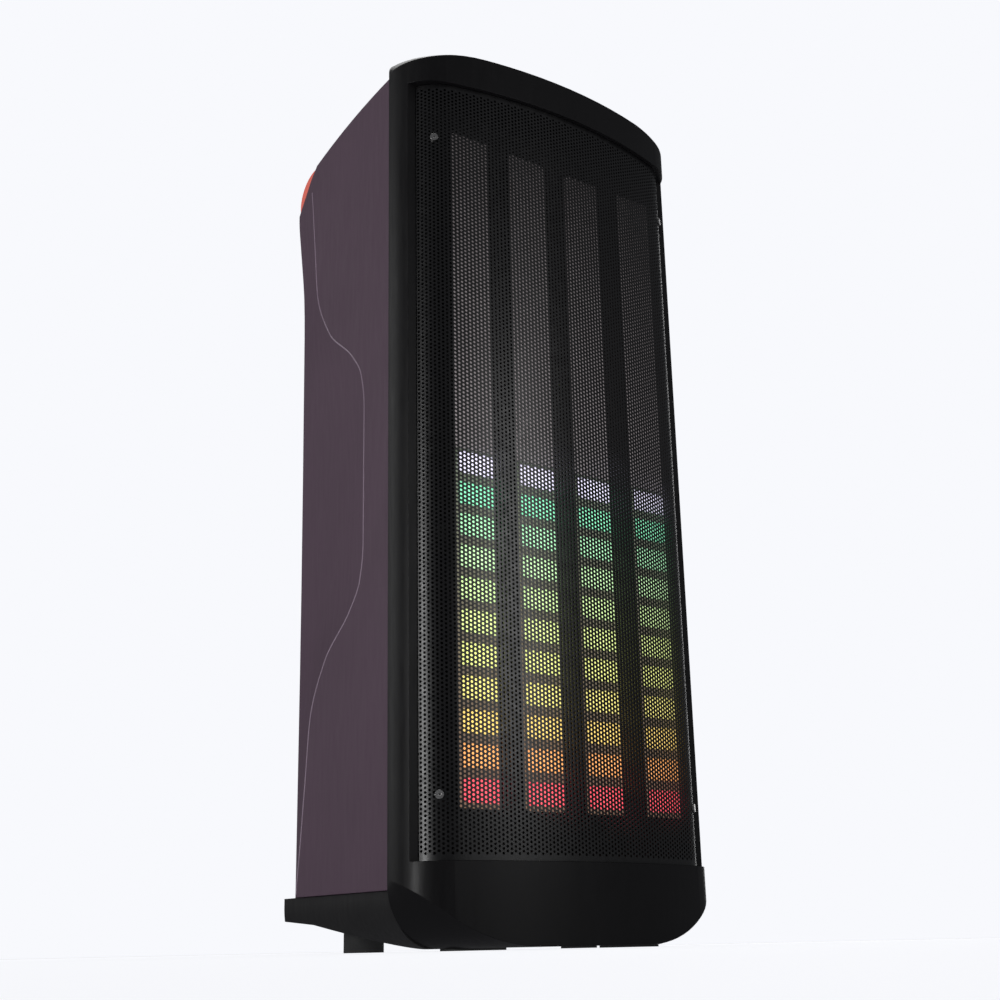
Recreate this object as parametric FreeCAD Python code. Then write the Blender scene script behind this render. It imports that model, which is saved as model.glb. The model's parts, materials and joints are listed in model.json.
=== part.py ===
"""Tall party speaker: four light bars behind a curved grille, two woofers and a tweeter.

Millimetres.  X is to the right, Y is to the back, Z is up.  The origin is at floor level,
under the middle of the overall box, and the speaker faces -Y.
"""
import FreeCAD
import Part
import math
import os

V = FreeCAD.Vector

# ---- overall size ----
WIDTH = 308.0
TOP_Z = 748.0
DEPTH = 244.0
FRONT_Y = -DEPTH / 2
FRONT_ARC_R = 450.0

# ---- front bezel and grille ----
BEZEL_FLOOR_GAP = 1.6
BEZEL_CORNER_R = 42.0
BEZEL_TOP_R = (88.0, 24.0, 10.0)     # corner radius at the front, on the side band and at the seam
BEZEL_CHIN_R = (106.0, 66.0, 46.0)
BEZEL_WALL = 4.0
SEAM_Y = -61.0            # where the bezel meets the cabinet
BAND_Y = -83.5            # front edge of the bezel's side bands
WINDOW_Z = (63.0, 717.0)  # grille opening in the bezel
GRILLE_HALF_W = 145.0
GRILLE_CORNER_R = 38.0
GRILLE_FRONT_Y = FRONT_Y + 4.0
GRILLE_T = 1.2
GRILLE_GAP = 0.5

# ---- light bars ----
LED_Y = -100.0
LED_PITCH_X = 63.0
LED_COUNT = 4
LED_BAR_W = 38.0
SEG_PITCH = 26.0
SEG_H = 18.2
SEG_COUNT = 22
SEG_RELIEF = 1.0
LED_TOP_Z = 670.0
LED_END = 4.0
DIFFUSER_T = 2.0
BOARD_T = 1.6
CHANNEL_T = 2.0
CHANNEL_DEPTH = 11.0

# ---- cabinet ----
CHEEK_HALF_W = 152.0
SKIN_T = 3.0
PLINTH_TOP = 44.0
PLINTH_CORNER_R = 36.0
WALL_T = 12.0
WALL_HALF_W = 134.0
BOX_Z = (48.0, 640.0)
BOX_BACK_Y = 102.0
BACK_Y = 118.0
COVER_WALL = 4.0
BAFFLE_T = 12.0
BAFFLE_Y = -73.0

# ---- drivers ----
WOOFER_Z = (195.0, 440.0)
WOOFER_NAMES = ("lower", "upper")
FRAME_R = 106.0
CUTOUT_R = 94.0
SURROUND_R = (76.0, 92.0)
CONE_NECK_R = 20.0
CONE_DEPTH = 38.0
COIL_R = 19.0
MAGNET_R = 55.0
TWEETER_Z = 594.0

# ---- top deck ----
DECK_FRONT_Z = 734.0
DECK_MIDDLE = (10.0, 722.5)      # (Y, Z) on the bowed deck
DECK_BACK_Z = 707.0
SLOPE_END_Z = 654.0
DECK_TILT = 9.5           # degrees, falling to the back
DECK_CENTRE = (0.0, -12.0, 725.0)
PANEL_SIZE = (252.0, 68.0)
PANEL_T = 3.0
DIAL_R = 25.0
KNOB_R = 9.0
KNOB_X = {"mic_volume": -108.0, "echo": -78.0, "bass": 78.0, "treble": 108.0}
KEY_X = {"power": -112.0, "source": -84.0, "light": -56.0, "boost": 84.0, "play": 112.0}
KEY_R = 6.0
RUN_GAP = 0.08            # radial running clearance

# ---- handle ----
HANDLE_Y = 66.0
HANDLE_DROP = 34.0
HANDLE_HALF_W = 149.0
CUP_HALF_W = 66.0
CUP_Y = 30.0
CUP_Z = 644.0


def box(x0, x1, y0, y1, z0, z1):
    return Part.makeBox(x1 - x0, y1 - y0, z1 - z0, V(x0, y0, z0))


def cyl(r, y0, y1, x=0.0, z=0.0):
    """Cylinder along Y."""
    return Part.makeCylinder(r, y1 - y0, V(x, y0, z), V(0, 1, 0))


def pillar(r, z0, z1, x=0.0, y=0.0):
    """Cylinder along Z."""
    return Part.makeCylinder(r, z1 - z0, V(x, y, z0), V(0, 0, 1))


def polygon(points):
    return Part.Face(Part.makePolygon(points + [points[0]]))


def fuse(shapes):
    return shapes[0].multiFuse(shapes[1:]).removeSplitter()


def both_sides(shape):
    """The shape and its mirror image in X."""
    return [shape, shape.mirror(V(0, 0, 0), V(1, 0, 0))]


def revolve_y(points, x=0.0, z=0.0):
    """Ring turned about a Y axis from (radius, y) points."""
    face = polygon([V(r, y, 0) for r, y in points])
    ring = face.revolve(V(0, 0, 0), V(0, 1, 0), 360)
    ring.translate(V(x, 0, z))
    return ring


def plan_prism(half_w, front_y, corner_r, back_y, z0, z1):
    """Upright prism with a bowed front: front arc, two tangent corner arcs, straight sides."""
    arc_y = front_y + FRONT_ARC_R
    cx = half_w - corner_r
    cy = arc_y - math.sqrt((FRONT_ARC_R - corner_r) ** 2 - cx ** 2)
    lean = math.asin(cx / (FRONT_ARC_R - corner_r))
    tangent = V(FRONT_ARC_R * math.sin(lean), arc_y - FRONT_ARC_R * math.cos(lean), z0)
    mid_a = (math.pi / 2 - lean) / 2 + lean
    middle = V(cx + corner_r * math.sin(mid_a), cy - corner_r * math.cos(mid_a), z0)
    side, back = V(half_w, cy, z0), V(half_w, back_y, z0)

    def left(p):
        return V(-p.x, p.y, p.z)
    edges = [
        Part.makeLine(left(back), left(side)),
        Part.Arc(left(side), left(middle), left(tangent)).toShape(),
        Part.Arc(left(tangent), V(0, front_y, z0), tangent).toShape(),
        Part.Arc(tangent, middle, side).toShape(),
        Part.makeLine(side, back),
        Part.makeLine(back, left(back)),
    ]
    return Part.Face(Part.Wire(edges)).extrude(V(0, 0, z1 - z0))


def front_outline(half_w, z0, z1, low, high, y):
    """Rounded rectangle in a plane across Y: low and high are its corner radii."""
    half = math.sqrt(0.5)
    edges = []
    for side in (-1, 1):
        edges.append(Part.makeLine(V(side * half_w, y, z0 + low), V(side * half_w, y, z1 - high)))
        for r, z_flat, up in ((low, z0, 1), (high, z1, -1)):
            cx, cz = side * (half_w - r), z_flat + up * r
            edges.append(Part.Arc(V(side * half_w, y, cz), V(cx + side * r * half, y, cz - up * r * half),
                                  V(cx, y, z_flat)).toShape())
    for r, z in ((low, z0), (high, z1)):
        edges.append(Part.makeLine(V(r - half_w, y, z), V(half_w - r, y, z)))
    return Part.Wire(Part.__sortEdges__(edges))


def rounded_front(inset=0.0, reach=0.0):
    """Body along Y whose corner radii shrink from the front to the seam."""
    places = (FRONT_Y - 1, BAND_Y, SEAM_Y + reach)
    return Part.makeLoft([front_outline(WIDTH / 2 - inset, BEZEL_FLOOR_GAP + inset, TOP_Z - inset,
                                        low - inset, high - inset, y)
                          for y, low, high in zip(places, BEZEL_CHIN_R, BEZEL_TOP_R)], True, False)


def upright_y(edge):
    """True for a straight edge along Y."""
    a, b = edge.Vertexes[0].Point, edge.Vertexes[-1].Point
    return abs(a.x - b.x) < 0.01 and abs(a.z - b.z) < 0.01 and abs(a.y - b.y) > 1


# ---------------------------------------------------------------- front
def front_bezel():
    outline = rounded_front()
    plan = plan_prism(WIDTH / 2, FRONT_Y, BEZEL_CORNER_R, SEAM_Y, 0, TOP_Z + 1)
    body = plan.common(outline)
    z0, z1 = WINDOW_Z
    window = plan_prism(GRILLE_HALF_W + GRILLE_GAP, GRILLE_FRONT_Y - GRILLE_GAP,
                        GRILLE_CORNER_R, SEAM_Y + 1, z0, z1)
    front = box(-WIDTH, WIDTH, FRONT_Y - 2, BAND_Y, z0, z1)
    hollow_outline = rounded_front(BEZEL_WALL, 1.0)
    hollow = plan_prism(WIDTH / 2 - BEZEL_WALL, FRONT_Y + BEZEL_WALL,
                        BEZEL_CORNER_R - BEZEL_WALL, SEAM_Y + 1, 0, TOP_Z)
    hollow = hollow.common(hollow_outline)
    chin = hollow.common(box(-WIDTH, WIDTH, -WIDTH, 0, 0, z0 - BEZEL_WALL))
    cap = hollow.common(box(-WIDTH, WIDTH, -WIDTH, 0, z1 + BEZEL_WALL, TOP_Z))
    return body.cut(window).cut(front).cut(chin).cut(cap).cut(screw_shafts(1.6))


def grille():
    z0, z1 = WINDOW_Z[0] + GRILLE_GAP, WINDOW_Z[1] - GRILLE_GAP
    outer = plan_prism(GRILLE_HALF_W, GRILLE_FRONT_Y, GRILLE_CORNER_R, -62.0, z0, z1)
    inner = plan_prism(GRILLE_HALF_W - GRILLE_T, GRILLE_FRONT_Y + GRILLE_T,
                       GRILLE_CORNER_R - GRILLE_T, -61.0, z0 - 1, z1 + 1)
    return outer.cut(inner).cut(screw_shafts(1.6))


SCREW_Z = (111.0, 664.0)
SCREW_DIR = V(0.62, -0.785, 0)


def grille_surface_point():
    """Point on the grille's corner arc where its screws sit, on the right side."""
    arc_y = GRILLE_FRONT_Y + FRONT_ARC_R
    cx = GRILLE_HALF_W - GRILLE_CORNER_R
    cy = arc_y - math.sqrt((FRONT_ARC_R - GRILLE_CORNER_R) ** 2 - cx ** 2)
    return V(cx, cy, 0) + SCREW_DIR * GRILLE_CORNER_R


def screw_at(head_r, head_t, shaft_r, shaft_len):
    """Slotted screws on the grille's four corners, standing on its curved face."""
    out = []
    base = grille_surface_point()
    for z in SCREW_Z:
        at = base + V(0, 0, z)
        shaft = Part.makeCylinder(shaft_r, shaft_len, at, SCREW_DIR * -1)
        shape = shaft
        if head_r:
            head = Part.makeCylinder(head_r, head_t, at, SCREW_DIR)
            slot = box(-head_r, head_r, -0.6, 0.6, -0.6, 0.6)
            slot.Placement = FreeCAD.Placement(at + SCREW_DIR * head_t, FreeCAD.Rotation(V(0, 0, 1), 0))
            shape = head.fuse(shaft).cut(slot)
        out += both_sides(shape)
    return out


def screw_shafts(r):
    return Part.Compound(screw_at(0, 0, r, 9.0))


def grille_screws():
    return Part.Compound(screw_at(3.4, 1.8, 1.5, 8.0))


# ---------------------------------------------------------------- light bars
def led_xs():
    first = -LED_PITCH_X * (LED_COUNT - 1) / 2
    return [first + i * LED_PITCH_X for i in range(LED_COUNT)]


def led_span():
    z0 = LED_TOP_Z - (SEG_COUNT - 1) * SEG_PITCH - SEG_H
    return z0 - LED_END, LED_TOP_Z + LED_END


def led_diffuser(x):
    z0, z1 = led_span()
    half = LED_BAR_W / 2
    y = LED_Y + SEG_RELIEF
    parts = [box(x - half, x + half, y, y + DIFFUSER_T, z0, z1)]
    for i in range(SEG_COUNT):
        top = LED_TOP_Z - i * SEG_PITCH
        parts.append(box(x - half + 1, x + half - 1, LED_Y, y, top - SEG_H, top))
    return fuse(parts)


def led_carrier():
    """Four channels joined by a rail at the top, one in the middle and one at the bottom."""
    z0, z1 = led_span()
    y0 = LED_Y + SEG_RELIEF + DIFFUSER_T
    y1 = y0 + CHANNEL_DEPTH
    half = LED_BAR_W / 2
    parts = []
    for x in led_xs():
        tray = box(x - half, x + half, y0, y1, z0, z1)
        inner = box(x - half + CHANNEL_T, x + half - CHANNEL_T, y0 - 1, y1 - CHANNEL_T,
                    z0 + CHANNEL_T, z1 - CHANNEL_T)
        parts.append(tray.cut(inner))
    reach = led_xs()[-1] + half + 12
    for rail_z in (z0, (WOOFER_Z[0] + WOOFER_Z[1]) / 2 - 6, z1 - 12):
        parts.append(box(-reach, reach, y1 - CHANNEL_T, y1, rail_z, rail_z + 12))
    for rail_z in (z0, z1 - 12):
        for side in (-1, 1):
            x = side * (reach - 6)
            parts.append(box(x - 6, x + 6, y1, BAFFLE_Y, rail_z, rail_z + 12))
    return fuse(parts)


def led_boards():
    z0, z1 = led_span()
    y = LED_Y + SEG_RELIEF + DIFFUSER_T + CHANNEL_DEPTH - CHANNEL_T - BOARD_T
    boards = []
    for x in led_xs():
        board = box(x - 14, x + 14, y, y + BOARD_T, z0 + 6, z1 - 6)
        leds = [box(x - 2.5, x + 2.5, y - 1.2, y, LED_TOP_Z - i * SEG_PITCH - SEG_H / 2 - 2.5,
                    LED_TOP_Z - i * SEG_PITCH - SEG_H / 2 + 2.5) for i in range(SEG_COUNT)]
        boards.append(fuse([board] + leds))
    return Part.Compound(boards)


# ---------------------------------------------------------------- drivers
def woofer_frame(z):
    """Pressed basket: flange, sloping ring with windows, back ring that holds the magnet."""
    y = BAFFLE_Y
    points = [(FRAME_R, y - 3), (FRAME_R, y), (CUTOUT_R - 1, y), (60, y + 52), (60, y + 58),
              (MAGNET_R - 8, y + 58), (MAGNET_R - 8, y + 55), (57, y + 52), (CUTOUT_R - 3.5, y - 1),
              (CUTOUT_R - 3.5, y - 3)]
    ring = revolve_y(points, 0, z)
    for i in range(6):
        turn = math.radians(60 * i)
        window = cyl(15, y, y + 70)
        window.translate(V(78 * math.cos(turn), 0, z + 78 * math.sin(turn)))
        keep = cyl(CUTOUT_R + 20, y + 6, y + 50, 0, z)
        ring = ring.cut(window.common(keep))
    return ring.cut(Part.Compound(driver_screw_shafts(z, 1.7)))


def woofer_surround(z):
    """Half-roll rubber edge with a flat lip on the frame's flange."""
    r0, r1 = SURROUND_R
    t = 1.2
    roll = (r1 - r0) / 2 - 1
    mid = (r0 + r1) / 2
    y = BAFFLE_Y - 3
    lip_out = FRAME_R - 10
    outer = Part.Arc(V(mid - roll, y - t, 0), V(mid, y - t - roll, 0), V(mid + roll, y - t, 0))
    inner = Part.Arc(V(mid - roll + t, y, 0), V(mid, y - roll, 0), V(mid + roll - t, y, 0))
    lip = [V(mid + roll, y - t, 0), V(lip_out, y - t, 0), V(lip_out, y, 0), V(mid + roll - t, y, 0)]
    hem = [V(mid - roll + t, y, 0), V(mid - roll, y, 0), V(mid - roll, y - t, 0)]
    edges = [outer.toShape(), inner.toShape()]
    edges += [Part.makeLine(a, b) for run in (lip, hem) for a, b in zip(run, run[1:])]
    ring = Part.Face(Part.Wire(Part.__sortEdges__(edges))).revolve(V(0, 0, 0), V(0, 1, 0), 360)
    ring.translate(V(0, 0, z))
    return ring


def woofer_cone(z):
    """Paper cone with its dome cap, one turned shell."""
    y = BAFFLE_Y - 3
    r0 = SURROUND_R[0]
    points = [(r0 + 0.5, y + 0.3), (r0 + 0.5, y + 1.5), (CONE_NECK_R, y + CONE_DEPTH),
              (0, y + CONE_DEPTH), (0, y + 13), (12, y + 14.5), (22, y + 18), (30, y + 23),
              (r0 - 2, y + 0.3)]
    return revolve_y(points, 0, z)


def voice_coil(z):
    y = BAFFLE_Y - 3 + CONE_DEPTH
    return revolve_y([(COIL_R, y + 0.01), (COIL_R, y + 32), (COIL_R - 1, y + 32),
                      (COIL_R - 1, y + 0.01)], 0, z)


def woofer_magnet(z):
    """Magnet stack with the round gap that the coil moves in."""
    y = BAFFLE_Y + 55
    points = [(MAGNET_R - 8.2, y), (MAGNET_R - 8.2, y + 3.2), (MAGNET_R, y + 3.2), (MAGNET_R, y + 27),
              (MAGNET_R - 4, y + 32), (0, y + 32), (0, y - 8), (COIL_R - 2.5, y - 8),
              (COIL_R - 2.5, y + 24), (COIL_R + 1.5, y + 24), (COIL_R + 1.5, y)]
    return revolve_y(points, 0, z)


def spider(z):
    """Corrugated cloth disc that centres the coil."""
    y = BAFFLE_Y + 44
    inner, outer = COIL_R + 0.4, 58.0
    waves = 6
    step = (outer - inner) / (2 * waves)
    front = [(inner + i * step, y + (2.0 if i % 2 else 0.0)) for i in range(2 * waves + 1)]
    back = [(r, h + 0.8) for r, h in reversed(front)]
    return revolve_y(front + back, 0, z)


def driver_screw_places(z):
    """(x, z) of the eight screws in a woofer frame's flange."""
    turns = [math.radians(22.5 + 45 * i) for i in range(8)]
    ring = FRAME_R - 6
    return [(ring * math.cos(a), z + ring * math.sin(a)) for a in turns]


def driver_screw_shafts(z, r):
    return [cyl(r, BAFFLE_Y - 3.5, BAFFLE_Y + 10, x, zz) for x, zz in driver_screw_places(z)]


def driver_screws():
    out = []
    for z in WOOFER_Z:
        for x, zz in driver_screw_places(z):
            head = cyl(3.2, BAFFLE_Y - 5.2, BAFFLE_Y - 3, x, zz)
            out.append(head.fuse(cyl(1.6, BAFFLE_Y - 3, BAFFLE_Y + 9, x, zz)))
    return Part.Compound(out)


def tweeter_horn():
    y = BAFFLE_Y
    flare = revolve_y([(46, y - 4), (46, y), (26, y), (20, y + 14), (15, y + 14), (15, y + 11),
                       (24, y + 3), (38, y - 4)], 0, TWEETER_Z)
    return flare


def tweeter_driver():
    y = BAFFLE_Y + 14
    magnet = revolve_y([(0, y + 2), (12.5, y + 2), (12.5, y), (29, y), (32, y + 3), (32, y + 24),
                        (29, y + 27), (0, y + 27)], 0, TWEETER_Z)
    dome = Part.makeSphere(12.4, V(0, y + 5, TWEETER_Z))
    dome = dome.common(box(-20, 20, y - 20, y + 3, TWEETER_Z - 20, TWEETER_Z + 20))
    return magnet.fuse(dome).removeSplitter()


# ---------------------------------------------------------------- cabinet
def deck_profile(inset=0.0):
    """Side view of the cabinet: bowed deck, cut-off rear corner, flat back."""
    y0, y1 = SEAM_Y + inset, BACK_Y - inset
    z0 = PLINTH_TOP + inset
    front, middle, back = [V(0, y, z - inset) for y, z in
                           ((y0, DECK_FRONT_Z), DECK_MIDDLE, (HANDLE_Y, DECK_BACK_Z))]
    slope_end = V(0, y1, SLOPE_END_Z - inset)
    edges = [
        Part.Arc(front, middle, back).toShape(),
        Part.makeLine(back, slope_end),
        Part.makeLine(slope_end, V(0, y1, z0)),
        Part.makeLine(V(0, y1, z0), V(0, y0, z0)),
        Part.makeLine(V(0, y0, z0), front),
    ]
    return Part.Face(Part.Wire(edges))


SCOOP_MID_Z = 378.0
CREASE = ((-21.0, 0.0), (-21.0, 60.0), (-16.0, 90.0), (0.0, 113.0), (37.0, 146.0), (60.0, 192.0),
          (66.0, 240.0), (72.0, 290.0), (79.0, 345.0), (82.0, 400.0))   # (Y, height off SCOOP_MID_Z)
HOLLOW = ((20.0, 13.2), (200.0, 13.2), (300.0, 12.9), (400.0, 12.2), (480.0, 11.4), (555.0, 10.6),
          (585.0, 9.6), (610.0, 7.6), (640.0, 4.6), (665.0, 2.6), (760.0, 2.0))   # (Z, depth at BOX_BACK_Y)


def steady_curve(knots, at):
    """Value at a place on a smooth curve through (place, value) knots that never overshoots."""
    slopes = [(b[1] - a[1]) / (b[0] - a[0]) for a, b in zip(knots, knots[1:])]
    tangents = [slopes[0]] + [2 * a * b / (a + b) if a * b > 0 else 0.0
                              for a, b in zip(slopes, slopes[1:])] + [slopes[-1]]
    for (p0, v0), (p1, v1), m0, m1 in zip(knots, knots[1:], tangents, tangents[1:]):
        if at <= p1:
            span = p1 - p0
            t = (at - p0) / span
            return (v0 * (1 + 2 * t) * (1 - t) ** 2 + span * m0 * t * (1 - t) ** 2
                    + v1 * t * t * (3 - 2 * t) + span * m1 * t * t * (t - 1))
    return knots[-1][1]


def crease_y(z):
    """Where the C-shaped crease crosses a height; its two halves mirror about SCOOP_MID_Z."""
    return steady_curve([(dz, y) for y, dz in CREASE], abs(z - SCOOP_MID_Z))


def side_cut(sign, shift, near, far):
    """Everything outside a surface ruled between two curves given as (depth, Y) at a height."""
    levels = [20.0 + 10 * i for i in range(75)]
    curves = []
    for line in (near, far):
        points = []
        for z in levels:
            depth, y = line(z)
            points.append(V(sign * (CHEEK_HALF_W - shift - depth), y, z))
        curve = Part.BSplineCurve()
        curve.interpolate(Points=points, Parameters=levels)
        curves.append(curve.toShape())
    return Part.makeRuledSurface(*curves).extrude(V(sign * 80.0, 0, 0))


def scoop(sign, shift):
    """Hollows the rear of a side wall from the crease to the rear corner."""
    def along(z, depth):
        y = crease_y(z)
        return depth, y + depth * (BOX_BACK_Y - y) / steady_curve(HOLLOW, z)
    return side_cut(sign, shift, lambda z: along(z, -1.0),
                    lambda z: (steady_curve(HOLLOW, z) * (140.0 - crease_y(z)) / (BOX_BACK_Y - crease_y(z)),
                               140.0))


def rear_bevel(sign):
    """Bevels the hollowed side's rear corner at 45 degrees."""
    return side_cut(sign, 0.0, lambda z: (steady_curve(HOLLOW, z) - 10, BOX_BACK_Y - 10),
                    lambda z: (steady_curve(HOLLOW, z) + 30, BOX_BACK_Y + 30))


def cabinet_block(inset=0.0):
    """Outer form of the cabinet behind the seam with plain sides, set in by inset."""
    half = CHEEK_HALF_W - inset
    body = deck_profile(inset).extrude(V(2 * half, 0, 0))
    body.translate(V(-half, 0, 0))
    return body


def cabinet_solid(inset=0.0):
    """Outer form of the cabinet with its sides hollowed."""
    body = cabinet_block(inset)
    for sign in (-1, 1):
        body = body.cut(scoop(sign, inset))
    return body


def handle_pocket(grow=0.0):
    return box(-CUP_HALF_W - grow, CUP_HALF_W + grow, CUP_Y - grow, 200, CUP_Z - grow, 800)


def side_cheek(sign):
    """Side cladding: a tray whose rim stands on the enclosure's wall."""
    x_in = WALL_HALF_W + 0.5
    region = box(x_in, 200, -100, BOX_BACK_Y, 0, 800)
    inner_region = box(x_in - 1, 200, -100, BOX_BACK_Y - SKIN_T, 0, 800)
    if sign < 0:
        region = region.mirror(V(0, 0, 0), V(1, 0, 0))
        inner_region = inner_region.mirror(V(0, 0, 0), V(1, 0, 0))
    outer = cabinet_solid().common(region)
    inner = cabinet_solid(SKIN_T).common(inner_region)
    return outer.cut(inner)


def top_cover():
    """Deck moulding between the cheeks, with the panel opening and the handle pocket."""
    half = WALL_HALF_W
    region = box(-half, half, SEAM_Y, BOX_BACK_Y, BOX_Z[1] + 1, 800)
    inner_region = box(-half + SKIN_T, half - SKIN_T, SEAM_Y + SKIN_T, BOX_BACK_Y - SKIN_T, 600, 800)
    shell = cabinet_solid().common(region).cut(cabinet_solid(SKIN_T).common(inner_region))
    length, width = PANEL_SIZE
    opening = box(-length / 2 + 4, length / 2 - 4, -width / 2 + 4, width / 2 - 4, -30, 30)
    seat = box(-length / 2 - 0.3, length / 2 + 0.3, -width / 2 - 0.3, width / 2 + 0.3, -PANEL_T, 30)
    return shell.cut(on_deck(opening)).cut(on_deck(seat)).cut(handle_pocket(0.2))


def enclosure_walls():
    z0, z1 = BOX_Z
    y0, y1 = BAFFLE_Y + BAFFLE_T, BOX_BACK_Y
    side = box(WALL_HALF_W - WALL_T, WALL_HALF_W, y0, y1, z0, z1)
    inner = WALL_HALF_W - WALL_T
    floor = box(-inner, inner, y0, y1, z0, z0 + WALL_T)
    roof = box(-inner, inner, y0, y1, z1 - WALL_T, z1)
    return Part.Compound(both_sides(side) + [floor, roof])


def front_baffle():
    """Board that carries the three drivers."""
    half = GRILLE_HALF_W - GRILLE_T - 0.8
    board = box(-half, half, BAFFLE_Y, BAFFLE_Y + BAFFLE_T, WINDOW_Z[0] + 1, WINDOW_Z[1] - 1)
    clear = plan_prism(half, GRILLE_FRONT_Y + 2, GRILLE_CORNER_R - 2, 0, 0, 800)
    board = board.common(clear)
    for z in WOOFER_Z:
        board = board.cut(cyl(CUTOUT_R, BAFFLE_Y - 1, BAFFLE_Y + 30, 0, z))
        board = board.cut(Part.Compound(driver_screw_shafts(z, 1.7)))
    return board.cut(cyl(33, BAFFLE_Y - 1, BAFFLE_Y + 30, 0, TWEETER_Z))


PORT_X, PORT_Z = 62.0, 570.0
PORT_R = 30.0
PORT_LEN = 96.0
JACK_AREA = (-96.0, -24.0, 500.0, 600.0)
INLET_AT = (86.0, 96.0)
INLET_SIZE = (27.0, 20.0)
ROCKER_AT = (86.0, 134.0)
ROCKER_SIZE = (21.0, 17.0)
ROCKER_REST = 8.0         # degrees: at rest the rocker is tipped to off
CASE_SCREWS = [(sx * 114.0, z) for sx in (-1, 1) for z in (66.0, 250.0, 450.0, 628.0)]


def rear_cover():
    body = cabinet_block().common(box(-200, 200, BOX_BACK_Y, 200, 0, 800))
    for sign in (-1, 1):
        body = body.cut(rear_bevel(sign))
    inner = box(-112, 112, BOX_BACK_Y - 1, BACK_Y - COVER_WALL, 74, 620)
    body = body.cut(inner).cut(handle_pocket(0.2))
    body = body.cut(cyl(PORT_R + 3.2, 0, 200, PORT_X, PORT_Z))
    x0, x1, z0, z1 = JACK_AREA
    body = body.cut(box(x0, x1, BACK_Y - COVER_WALL - 1, 200, z0, z1))
    for (x, z), (w, h) in ((INLET_AT, INLET_SIZE), (ROCKER_AT, ROCKER_SIZE)):
        body = body.cut(box(x - w / 2, x + w / 2, 90, 200, z - h / 2, z + h / 2))
    for i in range(14):
        z = 250.0 + 10 * i
        for side in (-1, 1):
            x = side * 40
            body = body.cut(box(x - 32, x + 32, 90, 200, z, z + 4))
    for x, z in CASE_SCREWS:
        body = body.cut(cyl(1.9, 90, 200, x, z)).cut(cyl(4.2, BACK_Y - 2.2, 200, x, z))
    return body


def base_plinth():
    """Black foot of the cabinet; its underside rises towards the back."""
    profile = polygon([V(0, SEAM_Y, PLINTH_TOP - 0.3), V(0, SEAM_Y, BEZEL_FLOOR_GAP),
                       V(0, -52, BEZEL_FLOOR_GAP), V(0, 60, 22), V(0, 108, 26),
                       V(0, BACK_Y - 2, PLINTH_TOP - 0.3)])
    half = CHEEK_HALF_W - 3
    body = profile.extrude(V(2 * half, 0, 0))
    body.translate(V(-half, 0, 0))
    section = front_outline(half, BEZEL_FLOOR_GAP, PLINTH_TOP + 20, PLINTH_CORNER_R, 5.0, SEAM_Y)
    body = body.common(Part.Face(section).extrude(V(0, 200, 0)))
    bevel = BACK_Y - BOX_BACK_Y
    wedge = polygon([V(half + 40, BACK_Y - bevel - 40, 0), V(half + 40, BACK_Y + 40, 0),
                     V(half - bevel - 40, BACK_Y + 40, 0)]).extrude(V(0, 0, PLINTH_TOP))
    for corner in both_sides(wedge):
        body = body.cut(corner)
    inner = box(-half + 8, half - 8, SEAM_Y + 8, 60, 30, PLINTH_TOP + 1)
    return body.cut(inner)


def front_feet():
    feet = []
    for foot in both_sides(box(52, 106, -76, -54, 0, BEZEL_FLOOR_GAP)):
        feet.append(foot.makeFillet(8, [e for e in foot.Edges if upright_z(e)]))
    return Part.Compound(feet)


def upright_z(edge):
    a, b = edge.Vertexes[0].Point, edge.Vertexes[-1].Point
    return abs(a.x - b.x) < 0.01 and abs(a.y - b.y) < 0.01


def rear_feet():
    feet = []
    for foot in both_sides(pillar(16, 0, 40, 112, 38)):
        feet.append(foot.cut(base_plinth()).cut(box(-200, 200, -100, 100, 28, 60)))
    return Part.Compound([max(f.Solids, key=lambda s: s.Volume) for f in feet])


# ---------------------------------------------------------------- handle
def handle_edge_points():
    slope = (DECK_BACK_Z - SLOPE_END_Z) / (BACK_Y - HANDLE_Y)
    a = V(0, HANDLE_Y, DECK_BACK_Z)
    b = V(0, HANDLE_Y + HANDLE_DROP, DECK_BACK_Z - HANDLE_DROP * slope)
    mid = (a + b) * 0.5
    out = V(0, 0.714, 0.7)
    return a, b, mid, out


def carry_handle():
    """Bar along the cut-off corner: bowed outside, and bellied inside over the pocket."""
    a, b, mid, out = handle_edge_points()
    lift = 0.2
    shift = out * lift
    bow = Part.Arc(a + shift, mid + out * 13, b + shift).toShape()
    half = HANDLE_HALF_W
    bar = Part.Face(Part.Wire([bow, Part.makeLine(b + shift, a + shift)])).extrude(V(2 * half, 0, 0))
    bar.translate(V(-half, 0, 0))
    belly_arc = Part.Arc(a + shift, mid - out * 11, b + shift).toShape()
    belly_half = CUP_HALF_W - 4
    belly = Part.Face(Part.Wire([belly_arc, Part.makeLine(b + shift, a + shift)]))
    belly = belly.extrude(V(2 * belly_half, 0, 0))
    belly.translate(V(-belly_half, 0, 0))
    return bar.fuse(belly).removeSplitter()


def handle_cup():
    """Lining of the finger pocket under the handle, open at the top and at the back."""
    outer = handle_pocket(0.0).common(cabinet_solid(0.4))
    inner = box(-CUP_HALF_W + 2.5, CUP_HALF_W - 2.5, CUP_Y + 2.5, 300, CUP_Z + 2.5, 900)
    return outer.cut(inner)


# ---------------------------------------------------------------- top deck controls
def on_deck(shape):
    """Place a shape made about the origin, Z up, onto the sloping deck."""
    shape = shape.copy()
    tilt = FreeCAD.Rotation(V(1, 0, 0), -DECK_TILT)
    shape.Placement = FreeCAD.Placement(V(*DECK_CENTRE), tilt).multiply(shape.Placement)
    return shape


KNOB_Y = 14.0
KEY_Y = -17.0
DISPLAY_X = (38.0, 68.0)
DISPLAY_HALF_H = 8.0
DISPLAY_DEPTH = 1.2


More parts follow.
